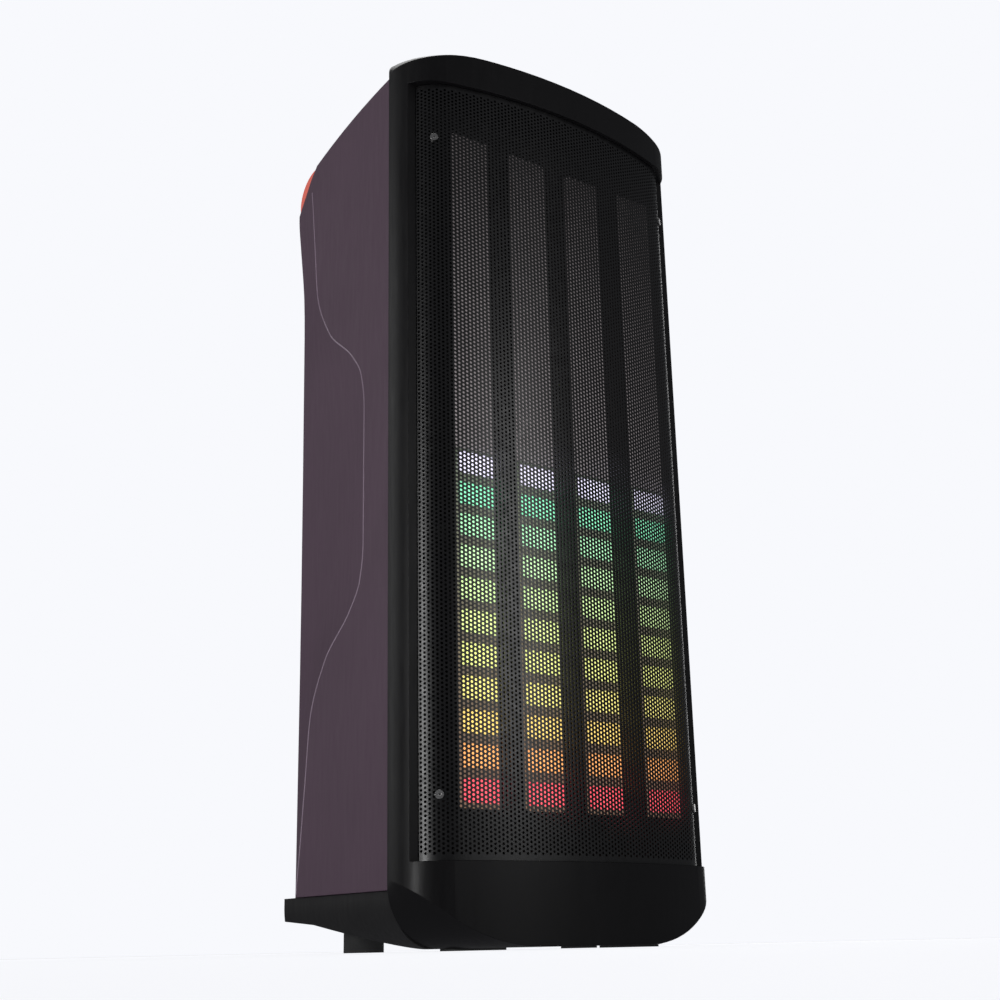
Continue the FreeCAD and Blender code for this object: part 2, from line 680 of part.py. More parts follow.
def control_panel():
    length, width = PANEL_SIZE
    plate = box(-length / 2, length / 2, -width / 2, width / 2, -PANEL_T, 0)
    corners = [e for e in plate.Edges if upright_z(e)]
    plate = plate.makeFillet(6, corners)
    holes = [pillar(DIAL_R + 4.2, -1.5, 1), pillar(4 + RUN_GAP, -9, 9)]
    holes += [pillar(3 + RUN_GAP, -9, 9, x, KNOB_Y) for x in KNOB_X.values()]
    holes += [pillar(KEY_R + RUN_GAP, -9, 9, x, KEY_Y) for x in KEY_X.values()]
    holes.append(box(*DISPLAY_X, KEY_Y - DISPLAY_HALF_H, KEY_Y + DISPLAY_HALF_H, -DISPLAY_DEPTH, 1))
    return on_deck(plate.cut(Part.Compound(holes)))


def display_window():
    gap = 0.2
    half = DISPLAY_HALF_H - gap
    pane = box(DISPLAY_X[0] + gap, DISPLAY_X[1] - gap, KEY_Y - half, KEY_Y + half, -DISPLAY_DEPTH, 0.3)
    return on_deck(pane)


def dial_light_ring():
    ring = pillar(DIAL_R + 4, -1.5, 0.6).cut(pillar(DIAL_R + 1.2, -2, 2))
    return on_deck(ring)


def volume_dial():
    """Big endless dial with a finger dimple, a knurled skirt and a spindle."""
    skirt = pillar(DIAL_R, -1.0, 9)
    crown = [e for e in skirt.Edges if abs(e.CenterOfMass.z - 9) < 0.1]
    skirt = skirt.makeFillet(2, crown)
    flutes = []
    for i in range(30):
        a = math.radians(12 * i)
        flutes.append(pillar(0.9, 0.5, 6.5, (DIAL_R + 0.3) * math.cos(a), (DIAL_R + 0.3) * math.sin(a)))
    dimple = Part.makeSphere(14, V(0, DIAL_R - 9, 21.5))
    body = skirt.cut(Part.Compound(flutes)).cut(dimple)
    return on_deck(body.fuse(pillar(4, -8, 0)))


def small_knob(x):
    """Level knob with a pointer rib on top and a spindle."""
    cap = pillar(KNOB_R, 0.6, 11)
    crown = [e for e in cap.Edges if abs(e.CenterOfMass.z - 11) < 0.1]
    cap = cap.makeFillet(1.2, crown)
    flutes = [pillar(0.7, 1.5, 9, (KNOB_R + 0.2) * math.cos(math.radians(20 * i)),
                     (KNOB_R + 0.2) * math.sin(math.radians(20 * i))) for i in range(18)]
    groove = box(-0.6, 0.6, 2, KNOB_R + 1, 10.4, 12)
    knob = cap.cut(Part.Compound(flutes)).cut(groove).fuse(pillar(3, -8, 1))
    knob.translate(V(x, KNOB_Y, 0))
    return on_deck(knob)


def key(x):
    """Round push key with a dished top and a retaining collar under the panel."""
    stem = pillar(KEY_R, -5, 1.8)
    rim = [e for e in stem.Edges if abs(e.CenterOfMass.z - 1.8) < 0.1]
    stem = stem.makeFillet(0.6, rim)
    dish = Part.makeSphere(22, V(0, 0, 1.8 + 22 - 0.5))
    collar = pillar(KEY_R + 1.5, -7, -5)
    body = stem.cut(dish).fuse(collar)
    body.translate(V(x, KEY_Y, 0))
    return on_deck(body)


# ---------------------------------------------------------------- rear
def bass_port():
    """Flared tube: its rim stands 4 mm proud of the rear cover."""
    y = BACK_Y
    points = [(PORT_R + 3, y - PORT_LEN), (PORT_R + 3, y), (PORT_R + 9, y), (PORT_R + 9, y + 2),
              (PORT_R + 6, y + 4), (PORT_R + 2, y + 2.5), (PORT_R, y - 5), (PORT_R, y - PORT_LEN)]
    return revolve_y(points, PORT_X, PORT_Z)


MIC_X = (-82.0, -58.0)
MIC_Z = 580.0
MIC_R = 3.25
MIC_DEPTH = 20.0
AUX_AT = (-36.0, 580.0)
USB_AT = (-38.0, 545.0)


def jack_plate():
    x0, x1, z0, z1 = JACK_AREA
    y = BACK_Y - COVER_WALL
    plate = box(x0 + 0.3, x1 - 0.3, y - 1, y + 2, z0 + 0.3, z1 - 0.3)
    rim = [e for e in plate.Edges if upright_y(e)]
    plate = plate.makeFillet(4, rim)
    holes = [cyl(7.0, 0, 200, x, MIC_Z) for x in MIC_X]
    holes.append(cyl(4.0, 0, 200, *AUX_AT))
    holes.append(box(USB_AT[0] - 7.5, USB_AT[0] + 7.5, 0, 200, USB_AT[1] - 4, USB_AT[1] + 4))
    return plate.cut(Part.Compound(holes))


def signal_jacks():
    """Two microphone jacks and a small line-in jack."""
    y = BACK_Y - COVER_WALL
    out = []
    for x in MIC_X:
        body = cyl(6.9, y - 22, y + 2.5, x, MIC_Z).fuse(cyl(9.5, y + 2, y + 4, x, MIC_Z))
        out.append(body.cut(cyl(MIC_R, y + 4 - MIC_DEPTH, y + 5, x, MIC_Z)))
    x, z = AUX_AT
    out.append(cyl(3.9, y - 14, y + 3, x, z).cut(cyl(1.8, y - 10, y + 4, x, z)))
    return Part.Compound(out)


def usb_port():
    y = BACK_Y - COVER_WALL
    x, z = USB_AT
    shell = box(x - 7.4, x + 7.4, y - 14, y + 2.6, z - 3.9, z + 3.9)
    shell = shell.cut(box(x - 6.7, x + 6.7, y - 13, y + 4, z - 3.1, z + 3.1))
    tongue = box(x - 6, x + 6, y - 13.5, y + 0.5, z + 0.6, z + 2.6)
    return shell.fuse(tongue)


def ac_inlet():
    """Mains socket block with its two contact pins; the lead is detachable."""
    (x, z), (w, h) = INLET_AT, INLET_SIZE
    y = BACK_Y
    body = box(x - w / 2 + 0.2, x + w / 2 - 0.2, y - 24, y, z - h / 2 + 0.2, z + h / 2 - 0.2)
    flange = box(x - w / 2 - 2, x + w / 2 + 2, y, y + 1.5, z - h / 2 - 2, z + h / 2 + 2)
    hollow = box(x - 9.5, x + 9.5, y - 18, y + 3, z - 5.5, z + 5.5)
    block = body.fuse(flange).cut(hollow)
    pins = [cyl(1.2, y - 19, y - 6, x + dx, z) for dx in (-4.3, 4.3)]
    return block.multiFuse(pins)


def power_rocker():
    """Mains rocker that tips about a pin along X."""
    x, z = ROCKER_AT
    w = ROCKER_SIZE[0]
    pivot_y = BACK_Y - 4.5
    outline = [V(x, BACK_Y - 7, z - 5.6), V(x, BACK_Y + 0.6, z - 5.9), V(x, BACK_Y - 0.6, z),
               V(x, BACK_Y + 0.6, z + 5.9), V(x, BACK_Y - 7, z + 5.6)]
    cap = polygon(outline).extrude(V(w - 8, 0, 0))
    cap.translate(V(-(w - 8) / 2, 0, 0))
    bore = Part.makeCylinder(1.5, w, V(x - w / 2, pivot_y, z), V(1, 0, 0))
    rocker = cap.cut(bore)
    rocker.rotate(V(x, pivot_y, z), V(1, 0, 0), ROCKER_REST)
    return rocker


def rocker_frame():
    (x, z), (w, h) = ROCKER_AT, ROCKER_SIZE
    block = box(x - w / 2 + 0.2, x + w / 2 - 0.2, BACK_Y - 16, BACK_Y, z - h / 2 + 0.2, z + h / 2 - 0.2)
    flange = box(x - w / 2 - 1.5, x + w / 2 + 1.5, BACK_Y, BACK_Y + 1.2, z - h / 2 - 1.5, z + h / 2 + 1.5)
    hollow = box(x - 7.2, x + 7.2, BACK_Y - 13, BACK_Y + 2, z - 7.2, z + 7.2)
    pin = Part.makeCylinder(1.5 - RUN_GAP, w - 4, V(x - w / 2 + 2, BACK_Y - 4.5, z), V(1, 0, 0))
    return block.fuse(flange).cut(hollow).fuse(pin)


def case_screws():
    """Countersunk cover screws and the two that hold the handle from inside."""
    out = []
    for x, z in CASE_SCREWS:
        head = cyl(4.0, BACK_Y - 2.2, BACK_Y - 0.4, x, z)
        head = head.cut(box(x - 3, x + 3, BACK_Y - 1.4, BACK_Y, z - 0.5, z + 0.5))
        out.append(head.fuse(cyl(1.8, BOX_BACK_Y, BACK_Y - 2.2, x, z)))
    return Part.Compound(out)


# ---------------------------------------------------------------- electronics
def amp_board():
    board = box(-100, 100, 78, 79.6, 240, 400)
    parts = [board]
    for i in range(6):
        parts.append(cyl(6, 60, 78.01, -80 + 24 * i, 258))
    for i in range(3):
        parts.append(box(-70 + 50 * i, -48 + 50 * i, 70, 78.01, 300, 322))
    return fuse(parts)


def heatsink():
    plate = box(-74, 74, 80, 84, 262, 388)
    fins = [box(-72 + 12 * i, -70 + 12 * i, 84, 98, 262, 388) for i in range(13)]
    return fuse([plate] + fins)


def power_supply():
    board = box(20, 116, 60, 61.6, 72, 172)
    coil = box(34, 66, 34, 60.01, 84, 112)
    caps = [cyl(9, 30, 60.01, 84, 96), cyl(9, 30, 60.01, 84, 122)]
    sink = box(40, 100, 40, 60.01, 142, 146)
    return fuse([board, coil, sink] + caps)


def battery_pack():
    cells = []
    for row in range(2):
        for i in range(4):
            cells.append(pillar(9.2, 70, 136, -104 + 18.3 * i, 62 + 18.3 * row))
    tray = box(-114, -39, 51, 91, 62.2, 70)
    return fuse([tray] + cells)


def speaker_parts():
    nodes = {
        "front_bezel": front_bezel(),
        "grille": grille(),
        "grille_screws": grille_screws(),
        "led_carrier": led_carrier(),
        "led_boards": led_boards(),
        "side_cheek_left": side_cheek(-1),
        "side_cheek_right": side_cheek(1),
        "top_cover": top_cover(),
        "enclosure_walls": enclosure_walls(),
        "front_baffle": front_baffle(),
        "rear_cover": rear_cover(),
        "base_plinth": base_plinth(),
        "front_feet": front_feet(),
        "rear_feet": rear_feet(),
        "carry_handle": carry_handle(),
        "handle_cup": handle_cup(),
        "control_panel": control_panel(),
        "display_window": display_window(),
        "volume_dial": volume_dial(),
        "dial_light_ring": dial_light_ring(),
        "driver_screws": driver_screws(),
        "tweeter_horn": tweeter_horn(),
        "tweeter_driver": tweeter_driver(),
        "bass_port": bass_port(),
        "jack_plate": jack_plate(),
        "signal_jacks": signal_jacks(),
        "usb_port": usb_port(),
        "ac_inlet": ac_inlet(),
        "power_rocker": power_rocker(),
        "rocker_frame": rocker_frame(),
        "case_screws": case_screws(),
        "amp_board": amp_board(),
        "heatsink": heatsink(),
        "power_supply": power_supply(),
        "battery_pack": battery_pack(),
    }
    for number, x in enumerate(led_xs(), 1):
        nodes["led_diffuser_%d" % number] = led_diffuser(x)
    for name, z in zip(WOOFER_NAMES, WOOFER_Z):
        nodes["woofer_frame_" + name] = woofer_frame(z)
        nodes["woofer_magnet_" + name] = woofer_magnet(z)
        nodes["woofer_cone_" + name] = woofer_cone(z)
        nodes["woofer_surround_" + name] = woofer_surround(z)
        nodes["voice_coil_" + name] = voice_coil(z)
        nodes["spider_" + name] = spider(z)
    for name, x in KNOB_X.items():
        nodes["knob_" + name] = small_knob(x)
    for name, x in KEY_X.items():
        nodes["key_" + name] = key(x)
    return nodes


def main():
    os.makedirs("parts", exist_ok=True)
    for name, shape in speaker_parts().items():
        shape.exportStep("parts/%s.step" % name)


main()
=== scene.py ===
"""Looks of a tall party speaker: materials, perforated grille, light bars, deck marks, trims and studio."""
import json
import math

import bpy
from mathutils import Matrix, Vector


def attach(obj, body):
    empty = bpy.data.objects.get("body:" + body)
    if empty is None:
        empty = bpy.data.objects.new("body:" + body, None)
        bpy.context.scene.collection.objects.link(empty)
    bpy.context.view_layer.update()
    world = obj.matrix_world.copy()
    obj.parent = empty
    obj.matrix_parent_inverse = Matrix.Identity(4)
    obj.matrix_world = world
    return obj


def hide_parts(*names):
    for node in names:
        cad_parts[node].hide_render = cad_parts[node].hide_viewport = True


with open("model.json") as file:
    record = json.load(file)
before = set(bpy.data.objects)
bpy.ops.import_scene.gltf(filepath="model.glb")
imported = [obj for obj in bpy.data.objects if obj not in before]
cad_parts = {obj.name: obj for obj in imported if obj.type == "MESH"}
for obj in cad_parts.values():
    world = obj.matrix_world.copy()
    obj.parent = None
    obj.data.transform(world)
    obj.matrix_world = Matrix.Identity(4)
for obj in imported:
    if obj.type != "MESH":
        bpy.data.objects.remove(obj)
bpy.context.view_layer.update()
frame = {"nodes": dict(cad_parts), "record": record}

nodes = frame["nodes"]
MM = 0.001

# ---- sizes shared with the CAD part, in millimetres ----
WINDOW_Z = (63.5, 716.5)
FRONT_ARC_R = 450.0
GRILLE_HALF_W = 145.0
GRILLE_FRONT_Y = -118.0
GRILLE_CORNER_R = 38.0
GRILLE_BACK_Y = -62.0
GRILLE_T = 0.8
LED_XS = (-94.5, -31.5, 31.5, 94.5)
LED_PITCH_X = 63.0
LED_BAR_HALF = 19.0
LED_FRONT_Y = -100.0
LED_BACK_Y = -97.0
LED_TOP_Z = 670.0
LED_END = 4.0
SEG_PITCH = 26.0
SEG_H = 18.2
SEG_COUNT = 22
LIT_COUNT = 11
DECK_CENTRE = (0.0, -12.0, 725.0)
DECK_TILT = 9.5
KNOB_XS = (-108.0, -78.0, 78.0, 108.0)
KNOB_Y = 14.0
KEY_Y = -17.0
KEY_XS = {"power": -112.0, "source": -84.0, "light": -56.0, "boost": 84.0, "play": 112.0}
WOOFER_Z = {"lower": 195.0, "upper": 440.0}
CONE_RING_R = 50.0
CONE_RING_TUBE = 1.3
CONE_RING_Y = -64.6
JACK_FACE_Y = 116.0
MIC_JACK_XS = (-82.0, -58.0)
LINE_JACK_X = -36.0
JACK_Z = 580.0


# ---------------------------------------------------------------- material graph
class Graph:
    """A node material under construction, with object coordinates in metres."""

    def __init__(self, name):
        self.material = bpy.data.materials.new(name)
        self.material.use_nodes = True
        self.tree = self.material.node_tree
        self.tree.nodes.clear()
        self.shader = self.node("BsdfPrincipled")
        output = self.node("OutputMaterial")
        self.link(self.shader.outputs[0], output.inputs[0])
        self.coords = self.node("TexCoord").outputs["Object"]

    def node(self, kind, **settings):
        made = self.tree.nodes.new("ShaderNode" + kind)
        for key, value in settings.items():
            setattr(made, key, value)
        return made

    def link(self, source, target):
        if isinstance(source, bpy.types.NodeSocket):
            self.tree.links.new(source, target)
        else:
            target.default_value = source
        return target

    def constant(self, **values):
        """Plain values on the shader's own sockets."""
        for key, value in values.items():
            socket = self.shader.inputs[key.replace("_", " ").title().replace("Ior", "IOR")]
            socket.default_value = value if isinstance(value, (int, float)) else (*value, 1.0)

    def stretched(self, scale):
        mapping = self.node("Mapping")
        self.link(self.coords, mapping.inputs["Vector"])
        mapping.inputs["Scale"].default_value = scale
        return mapping.outputs[0]

    def noise(self, scale, detail=3.0, roughness=0.55, vector=None):
        tex = self.node("TexNoise")
        self.link(vector or self.coords, tex.inputs["Vector"])
        tex.inputs["Scale"].default_value = scale
        tex.inputs["Detail"].default_value = detail
        tex.inputs["Roughness"].default_value = roughness
        return tex.outputs["Fac"]

    def cells(self, scale):
        tex = self.node("TexVoronoi")
        self.link(self.coords, tex.inputs["Vector"])
        tex.inputs["Scale"].default_value = scale
        return tex.outputs["Distance"]

    def math(self, operation, a, b=0.0, c=0.0):
        made = self.node("Math", operation=operation)
        for value, socket in zip((a, b, c), made.inputs):
            self.link(value, socket)
        return made.outputs[0]

    def span(self, value, low, high, out_low, out_high):
        """Maps low..high onto out_low..out_high, clamped."""
        made = self.node("MapRange")
        for source, socket in zip((value, low, high, out_low, out_high), made.inputs):
            self.link(source, socket)
        return made.outputs[0]

    def mix(self, factor, a, b):
        made = self.node("Mix", data_type="RGBA")
        self.link(factor, made.inputs[0])
        for value, socket in ((a, made.inputs[6]), (b, made.inputs[7])):
            self.link(value if isinstance(value, bpy.types.NodeSocket) else (*value, 1.0), socket)
        return made.outputs[2]

    def ramp(self, factor, stops, interpolation="LINEAR"):
        made = self.node("ValToRGB")
        made.color_ramp.interpolation = interpolation
        elements = made.color_ramp.elements
        for index, (position, colour) in enumerate(stops):
            element = elements[index] if index < 2 else elements.new(position)
            element.position = position
            element.color = (*colour, 1.0)
        self.link(factor, made.inputs[0])
        return made.outputs[0]

    def axes(self):
        split = self.node("SeparateXYZ")
        self.link(self.coords, split.inputs[0])
        return split.outputs

    def bevel(self, radius):
        made = self.node("Bevel", samples=4)
        made.inputs["Radius"].default_value = radius
        return made.outputs[0]

    def edges(self, rounded):
        """Near 1 along outside and inside edges, from the bevelled normal."""
        true_normal = self.node("NewGeometry").outputs["Normal"]
        dot = self.node("VectorMath", operation="DOT_PRODUCT")
        self.link(rounded, dot.inputs[0])
        self.link(true_normal, dot.inputs[1])
        return self.span(dot.outputs["Value"], 0.995, 0.80, 0.0, 1.0)

    def bump(self, height, strength, distance, normal=None):
        made = self.node("Bump")
        made.inputs["Strength"].default_value = strength
        made.inputs["Distance"].default_value = distance
        self.link(height, made.inputs["Height"])
        if normal is not None:
            self.link(normal, made.inputs["Normal"])
        return made.outputs[0]

    def surface(self, colour, roughness, normal=None):
        self.link(colour, self.shader.inputs["Base Color"])
        self.link(roughness, self.shader.inputs["Roughness"])
        if normal is not None:
            self.link(normal, self.shader.inputs["Normal"])
        return self.material


def tint(colour, factor):
    return tuple(min(1.0, channel * factor) for channel in colour)


def moulded(name, colour, roughness=0.45, grain=1800.0, spread=0.12, edge_gain=1.5,
            round_edge=0.0008, specular=0.5):
    """Moulded plastic: spark-eroded grain, slow tone shifts, rubbed edges and faint scuffs."""
    g = Graph(name)
    g.constant(specular_ior_level=specular)
    cloud = g.noise(14.0, 3.0)
    flow = g.mix(g.span(cloud, 0.3, 0.7, 0.0, 1.0), tint(colour, 1 - spread), tint(colour, 1 + spread))
    rounded = g.bevel(round_edge)
    worn = g.math("MULTIPLY", g.edges(rounded), g.span(g.noise(90.0, 4.0), 0.35, 0.7, 0.15, 0.8))
    flow = g.mix(worn, flow, tint(colour, edge_gain))
    scuff = g.noise(260.0, 5.0, 0.6, g.stretched((1.0, 1.0, 0.12)))
    rough = g.span(scuff, 0.3, 0.75, roughness - 0.05, roughness + 0.09)
    fine = g.math("ADD", g.noise(grain, 2.0), g.math("MULTIPLY", g.cells(grain * 0.55), 0.5))
    return g.surface(flow, rough, g.bump(fine, 0.5, 0.00004, rounded))


def rubber(name, colour, roughness=0.8):
    """Dull rubber with settled dust and a fine pore."""
    g = Graph(name)
    dust = g.span(g.noise(40.0, 5.0, 0.65), 0.45, 0.8, 0.0, 0.35)
    flow = g.mix(dust, colour, tint(colour, 2.6))
    height = g.noise(900.0, 3.0)
    return g.surface(flow, g.span(height, 0.3, 0.7, roughness - 0.06, roughness + 0.06),
                     g.bump(height, 0.4, 0.00008))


def metal(name, colour, roughness, brush=(1.0, 1.0, 1.0), brush_scale=700.0, metallic=1.0):
    """Brushed metal, streaked along the short axis of brush, with slow stains."""
    g = Graph(name)
    g.constant(metallic=metallic)
    streak = g.noise(brush_scale, 4.0, 0.6, g.stretched(brush))
    stain = g.noise(30.0, 3.0)
    flow = g.mix(g.span(stain, 0.35, 0.7, 0.0, 1.0), tint(colour, 0.86), tint(colour, 1.08))
    rounded = g.bevel(0.0004)
    return g.surface(flow, g.span(streak, 0.3, 0.7, roughness - 0.08, roughness + 0.1),
                     g.bump(streak, 0.25, 0.00003, rounded))


def powder_coat(name, colour):
    """Semi-gloss powder coat on steel: orange peel and faint dust."""
    g = Graph(name)
    g.constant(specular_ior_level=0.75)
    peel = g.noise(620.0, 3.0)
    dust = g.span(g.noise(22.0, 5.0, 0.6), 0.5, 0.8, 0.0, 0.3)
    flow = g.mix(dust, colour, tint(colour, 2.2))
    return g.surface(flow, g.span(g.noise(150.0, 4.0), 0.3, 0.7, 0.26, 0.36),
                     g.bump(peel, 0.35, 0.00005))


def board_material(name, colour, flake=380.0):
    """Fibre board, raw or painted: flakes and pores."""
    g = Graph(name)
    flakes = g.noise(flake, 6.0, 0.7)
    pores = g.cells(900.0)
    flow = g.ramp(flakes, [(0.25, tint(colour, 0.7)), (0.75, tint(colour, 1.25))])
    height = g.math("ADD", flakes, g.math("MULTIPLY", pores, 0.4))
    return g.surface(flow, g.span(flakes, 0.3, 0.7, 0.78, 0.92), g.bump(height, 0.5, 0.0001))


def cone_material(name):
    """Pressed paper with radial fibres and a slightly shiny treated face."""
    g = Graph(name)
    fibre = g.noise(420.0, 6.0, 0.7)
    speck = g.noise(60.0, 4.0)
    flow = g.mix(g.span(speck, 0.35, 0.7, 0.0, 1.0), (0.055, 0.052, 0.055), (0.085, 0.08, 0.083))
    flow = g.mix(g.span(fibre, 0.6, 0.8, 0.0, 0.5), flow, (0.15, 0.145, 0.15))
    return g.surface(flow, g.span(fibre, 0.3, 0.7, 0.5, 0.7), g.bump(fibre, 0.6, 0.00012))


def handle_material(name):
    """Coral soft-touch moulding: fine skin, pressed grip ribs on the belly, a few paler rubs."""
    colour = (0.83, 0.135, 0.088)
    g = Graph(name)
    g.constant(specular_ior_level=0.45, sheen_weight=0.15, sheen_roughness=0.5)
    x, y, z = g.axes()
    ribs = g.math("SINE", g.math("MULTIPLY", x, 1250.0))
    inner = g.span(g.math("ABSOLUTE", x), 0.058, 0.060, 1.0, 0.0)
    cloud = g.span(g.noise(20.0, 3.0), 0.3, 0.7, 0.0, 1.0)
    rounded = g.bevel(0.0012)
    flow = g.mix(cloud, tint(colour, 0.92), tint(colour, 1.05))
    flow = g.mix(g.math("MULTIPLY", g.edges(rounded), 0.3), flow, (0.95, 0.3, 0.23))
    skin = g.noise(1900.0, 2.0)
    height = g.math("ADD", g.math("MULTIPLY", skin, 0.12), g.math("MULTIPLY", ribs, inner))
    return g.surface(flow, g.span(g.noise(120.0, 4.0), 0.3, 0.7, 0.42, 0.56),
                     g.bump(height, 0.6, 0.00025, rounded))


def gloss_panel(name, colour):
    """Polished black panel with fine hairline scratches and a little dust."""
    g = Graph(name)
    g.constant(coat_weight=0.6, coat_roughness=0.04)
    hairs = g.noise(240.0, 6.0, 0.75, g.stretched((0.15, 1.0, 1.0)))
    dust = g.span(g.cells(420.0), 0.0, 0.12, 0.25, 0.0)
    flow = g.mix(dust, colour, (0.05, 0.05, 0.05))
    rounded = g.bevel(0.0006)
    return g.surface(flow, g.span(hairs, 0.45, 0.7, 0.10, 0.2), g.bump(hairs, 0.06, 0.00002, rounded))


def circuit_material(name):
    """Solder mask with copper tracks and silk specks."""
    g = Graph(name)
    x, y, z = g.axes()
    lanes = g.math("PINGPONG", g.math("ADD", x, g.math("MULTIPLY", g.noise(60.0, 1.0), 0.006)), 0.0011)
    track = g.span(lanes, 0.0007, 0.00085, 0.0, 1.0)
    flow = g.mix(track, (0.006, 0.045, 0.018), (0.014, 0.085, 0.03))
    return g.surface(flow, g.span(g.noise(300.0), 0.3, 0.7, 0.3, 0.45), g.bump(track, 0.5, 0.00006))


ROW_COLOURS = (   # lit rows from the top one down, linear light
    (1.05, 1.00, 1.28), (0.30, 1.08, 0.62), (0.50, 1.08, 0.60), (0.68, 1.10, 0.55),
    (0.78, 1.10, 0.46), (0.92, 1.10, 0.38), (1.02, 1.08, 0.32), (1.12, 1.00, 0.27),
    (1.18, 0.82, 0.20), (1.22, 0.50, 0.14), (1.28, 0.10, 0.15))


LEAK_LOW_Z = 385.0      # where the leaked light on the unlit segments is strongest
STRIP_LIT_Z = 370.0     # strips glow fully below this height
STRIP_DARK_Z = 400.0


def segment_falloff(g, x, z):
    """1 at a segment's middle, less towards its edges, from its place in the repeating grid."""
    across = g.math("PINGPONG", g.math("ADD", x, 2 * LED_PITCH_X * MM), LED_PITCH_X / 2 * MM)
    across = g.math("SUBTRACT", across, LED_PITCH_X / 2 * MM)
    across = g.math("DIVIDE", across, LED_BAR_HALF * MM)
    bottom = (LED_TOP_Z - SEG_COUNT * SEG_PITCH + (SEG_PITCH - SEG_H) + SEG_H / 2) * MM
    along = g.math("SUBTRACT", z, bottom)
    along = g.math("PINGPONG", along, SEG_PITCH / 2 * MM)
    along = g.math("DIVIDE", along, SEG_H / 2 * MM)
    radius = g.math("ADD", g.math("POWER", across, 2.0), g.math("POWER", along, 2.0))
    return g.span(radius, 0.0, 1.7, 1.12, 0.72)


def lit_material(name, gain):
    """Milky segment lit from behind; one colour a row, brightest in its middle."""
    g = Graph(name)
    x, y, z = g.axes()
    low = (LED_TOP_Z - SEG_COUNT * SEG_PITCH) * MM
    height = g.math("DIVIDE", g.math("SUBTRACT", z, low), LIT_COUNT * SEG_PITCH * MM)
    stops = [(index / LIT_COUNT, tint(colour, 1 / 1.3))
             for index, colour in enumerate(reversed(ROW_COLOURS))]
    glow = g.ramp(height, stops, "CONSTANT")
    milk = g.span(g.noise(500.0, 3.0), 0.3, 0.7, 0.94, 1.06)
    strength = g.math("MULTIPLY", g.math("MULTIPLY", segment_falloff(g, x, z), milk), 1.3 * gain)
    g.link(glow, g.shader.inputs["Emission Color"])
    g.link(strength, g.shader.inputs["Emission Strength"])
    return g.surface((0.5, 0.5, 0.5, 1.0), g.span(g.noise(300.0), 0.3, 0.7, 0.3, 0.42),
                     g.bump(g.noise(700.0), 0.2, 0.00005))


def unlit_material(name, top_glow, low_glow):
    """Smoked milky segment, off, with the light that leaks up from the lit ones."""
    g = Graph(name)
    x, y, z = g.axes()
    leak = g.span(z, LED_TOP_Z * MM, LEAK_LOW_Z * MM, top_glow, low_glow)
    strength = g.math("MULTIPLY", leak, g.span(g.noise(45.0), 0.3, 0.7, 0.9, 1.1))
    g.link((1.0, 0.90, 0.92, 1.0), g.shader.inputs["Emission Color"])
    g.link(strength, g.shader.inputs["Emission Strength"])
    flow = g.mix(g.span(g.noise(60.0), 0.3, 0.7, 0.0, 1.0), (0.20, 0.18, 0.185), (0.25, 0.225, 0.23))
    return g.surface(flow, g.span(g.noise(300.0), 0.3, 0.7, 0.35, 0.5),
                     g.bump(g.noise(700.0), 0.2, 0.00005))


def strip_material(name, gain):
    """Dark smoked strip between segments; where its neighbours are lit it glows a dull olive."""
    g = Graph(name)
    x, y, z = g.axes()
    glow = g.mix(g.span(z, 0.12, 0.38, 0.0, 1.0), (1.0, 0.62, 0.42), (0.85, 1.0, 0.75))
    strength = g.span(z, STRIP_DARK_Z * MM, STRIP_LIT_Z * MM, 0.02, gain)
    g.link(glow, g.shader.inputs["Emission Color"])
    g.link(strength, g.shader.inputs["Emission Strength"])
    return g.surface(g.mix(g.noise(90.0), (0.05, 0.047, 0.05), (0.08, 0.075, 0.078)),
                     g.span(g.noise(300.0), 0.3, 0.7, 0.3, 0.45), g.bump(g.noise(500.0), 0.2, 0.00005))


def glow_material(name, colour, strength):
    """Milky plastic that glows, a little unevenly."""
    g = Graph(name)
    soft = g.span(g.noise(400.0, 2.0), 0.3, 0.7, 0.9 * strength, 1.1 * strength)
    g.link((*colour, 1.0), g.shader.inputs["Emission Color"])
    g.link(soft, g.shader.inputs["Emission Strength"])
    return g.surface((*tint(colour, 0.6), 1.0), g.span(g.noise(200.0), 0.3, 0.7, 0.25, 0.4))


def print_material(name, colour):
    """Screen-printed mark, slightly broken by the texture under it."""
    g = Graph(name)
    grit = g.span(g.noise(1500.0, 4.0), 0.4, 0.7, 0.75, 1.0)
    return g.surface(g.mix(grit, tint(colour, 0.55), colour), g.span(grit, 0.7, 1.0, 0.6, 0.45),
                     g.bump(grit, 0.2, 0.00003))


